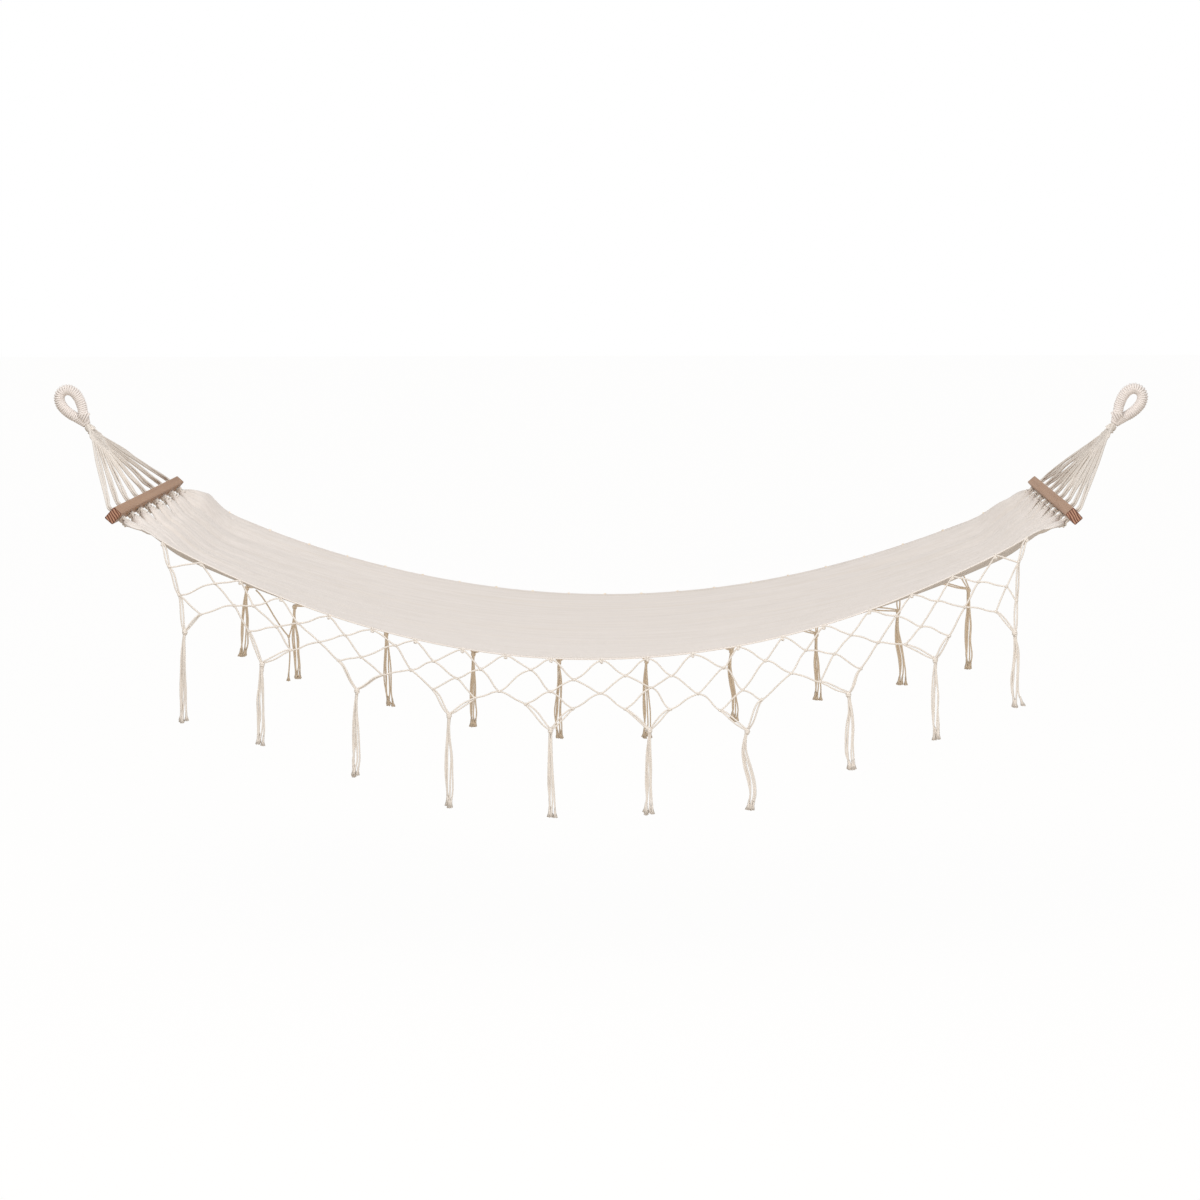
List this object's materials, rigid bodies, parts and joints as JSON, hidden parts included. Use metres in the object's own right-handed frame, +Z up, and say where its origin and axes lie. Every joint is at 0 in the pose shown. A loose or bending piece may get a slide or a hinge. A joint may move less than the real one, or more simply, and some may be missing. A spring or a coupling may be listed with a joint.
{
  "type": "hammock",
  "caption": "Canvas hammock with a wooden spreader bar, fan of cords and hanging eye at each end, and netted fringes with tassels along both sides.",
  "frame": {"origin": "the point inside the left hanging eye where its hook bears", "axes": "+X along the hammock from the left eye to the right eye, +Y from the front edge to the rear edge, +Z up"},
  "size_m": [2.7448, 1.0164, 0.9965],
  "materials": {
    "cloth": "woven cotton",
    "cord": "twisted cotton cord",
    "bar_wood": "satin"
  },
  "bodies": {
    "eyes": {"left_eye_core": "cord", "left_eye_serving": "cord", "left_eye_seizing": "cord", "right_eye_core": "cord", "right_eye_serving": "cord", "right_eye_seizing": "cord"},
    "hammock": {"left_clew_weave": "cord", "left_clew_cords": "cord", "left_spreader_bar": "bar_wood", "left_bar_knots": "cord", "left_bed_tongues": "cloth", "right_clew_weave": "cord", "right_clew_cords": "cord", "right_spreader_bar": "bar_wood", "right_bar_knots": "cord", "right_bed_tongues": "cloth", "bed_cloth": "cloth", "front_fringe_net": "cord", "rear_fringe_net": "cord"},
    "front_tassel_01": {"front_tassel_01": "cord"},
    "front_tassel_02": {"front_tassel_02": "cord"},
    "front_tassel_03": {"front_tassel_03": "cord"},
    "front_tassel_04": {"front_tassel_04": "cord"},
    "front_tassel_05": {"front_tassel_05": "cord"},
    "front_tassel_06": {"front_tassel_06": "cord"},
    "front_tassel_07": {"front_tassel_07": "cord"},
    "front_tassel_08": {"front_tassel_08": "cord"},
    "front_tassel_09": {"front_tassel_09": "cord"},
    "front_tassel_10": {"front_tassel_10": "cord"},
    "rear_tassel_01": {"rear_tassel_01": "cord"},
    "rear_tassel_02": {"rear_tassel_02": "cord"},
    "rear_tassel_03": {"rear_tassel_03": "cord"},
    "rear_tassel_04": {"rear_tassel_04": "cord"},
    "rear_tassel_05": {"rear_tassel_05": "cord"},
    "rear_tassel_06": {"rear_tassel_06": "cord"},
    "rear_tassel_07": {"rear_tassel_07": "cord"},
    "rear_tassel_08": {"rear_tassel_08": "cord"},
    "rear_tassel_09": {"rear_tassel_09": "cord"},
    "rear_tassel_10": {"rear_tassel_10": "cord"}
  },
  "joints": [
    {"name": "side_swing", "type": "hinge", "parent": "eyes", "child": "hammock", "pos_m": [0.05191, 0, -0.07413], "axis": [1, 0, 0], "range_deg": [-45, 45]},
    {"name": "front_tassel_01_swing", "type": "hinge", "parent": "hammock", "child": "front_tassel_01", "pos_m": [0.38372, -0.50175, -0.52741], "axis": [1, 0, 0], "range_deg": [-60, 60]},
    {"name": "front_tassel_02_swing", "type": "hinge", "parent": "hammock", "child": "front_tassel_02", "pos_m": [0.56696, -0.50175, -0.60463], "axis": [1, 0, 0], "range_deg": [-60, 60]},
    {"name": "front_tassel_03_swing", "type": "hinge", "parent": "hammock", "child": "front_tassel_03", "pos_m": [0.79115, -0.50175, -0.66734], "axis": [1, 0, 0], "range_deg": [-60, 60]},
    {"name": "front_tassel_04_swing", "type": "hinge", "parent": "hammock", "child": "front_tassel_04", "pos_m": [1.00975, -0.50175, -0.72571], "axis": [1, 0, 0], "range_deg": [-60, 60]},
    {"name": "front_tassel_05_swing", "type": "hinge", "parent": "hammock", "child": "front_tassel_05", "pos_m": [1.24623, -0.50175, -0.76013], "axis": [1, 0, 0], "range_deg": [-60, 60]},
    {"name": "front_tassel_06_swing", "type": "hinge", "parent": "hammock", "child": "front_tassel_06", "pos_m": [1.48267, -0.50175, -0.76035], "axis": [1, 0, 0], "range_deg": [-60, 60]},
    {"name": "front_tassel_07_swing", "type": "hinge", "parent": "hammock", "child": "front_tassel_07", "pos_m": [1.71257, -0.50175, -0.76049], "axis": [1, 0, 0], "range_deg": [-60, 60]},
    {"name": "front_tassel_08_swing", "type": "hinge", "parent": "hammock", "child": "front_tassel_08", "pos_m": [1.95131, -0.50175, -0.67093], "axis": [1, 0, 0], "range_deg": [-60, 60]},
    {"name": "front_tassel_09_swing", "type": "hinge", "parent": "hammock", "child": "front_tassel_09", "pos_m": [2.15121, -0.50175, -0.58877], "axis": [1, 0, 0], "range_deg": [-60, 60]},
    {"name": "front_tassel_10_swing", "type": "hinge", "parent": "hammock", "child": "front_tassel_10", "pos_m": [2.3346, -0.50175, -0.52689], "axis": [1, 0, 0], "range_deg": [-60, 60]},
    {"name": "rear_tassel_01_swing", "type": "hinge", "parent": "hammock", "child": "rear_tassel_01", "pos_m": [0.36229, 0.50175, -0.55766], "axis": [1, 0, 0], "range_deg": [-60, 60]},
    {"name": "rear_tassel_02_swing", "type": "hinge", "parent": "hammock", "child": "rear_tassel_02", "pos_m": [0.49682, 0.50175, -0.60867], "axis": [1, 0, 0], "range_deg": [-60, 60]},
    {"name": "rear_tassel_03_swing", "type": "hinge", "parent": "hammock", "child": "rear_tassel_03", "pos_m": [0.74184, 0.50175, -0.68137], "axis": [1, 0, 0], "range_deg": [-60, 60]},
    {"name": "rear_tassel_04_swing", "type": "hinge", "parent": "hammock", "child": "rear_tassel_04", "pos_m": [0.98172, 0.50175, -0.73684], "axis": [1, 0, 0], "range_deg": [-60, 60]},
    {"name": "rear_tassel_05_swing", "type": "hinge", "parent": "hammock", "child": "rear_tassel_05", "pos_m": [1.21639, 0.50175, -0.75947], "axis": [1, 0, 0], "range_deg": [-60, 60]},
    {"name": "rear_tassel_06_swing", "type": "hinge", "parent": "hammock", "child": "rear_tassel_06", "pos_m": [1.45217, 0.50175, -0.75495], "axis": [1, 0, 0], "range_deg": [-60, 60]},
    {"name": "rear_tassel_07_swing", "type": "hinge", "parent": "hammock", "child": "rear_tassel_07", "pos_m": [1.68019, 0.50175, -0.72797], "axis": [1, 0, 0], "range_deg": [-60, 60]},
    {"name": "rear_tassel_08_swing", "type": "hinge", "parent": "hammock", "child": "rear_tassel_08", "pos_m": [1.90965, 0.50175, -0.68124], "axis": [1, 0, 0], "range_deg": [-60, 60]},
    {"name": "rear_tassel_09_swing", "type": "hinge", "parent": "hammock", "child": "rear_tassel_09", "pos_m": [2.12864, 0.50175, -0.61971], "axis": [1, 0, 0], "range_deg": [-60, 60]},
    {"name": "rear_tassel_10_swing", "type": "hinge", "parent": "hammock", "child": "rear_tassel_10", "pos_m": [2.31844, 0.50175, -0.55966], "axis": [1, 0, 0], "range_deg": [-60, 60]}
  ]
}
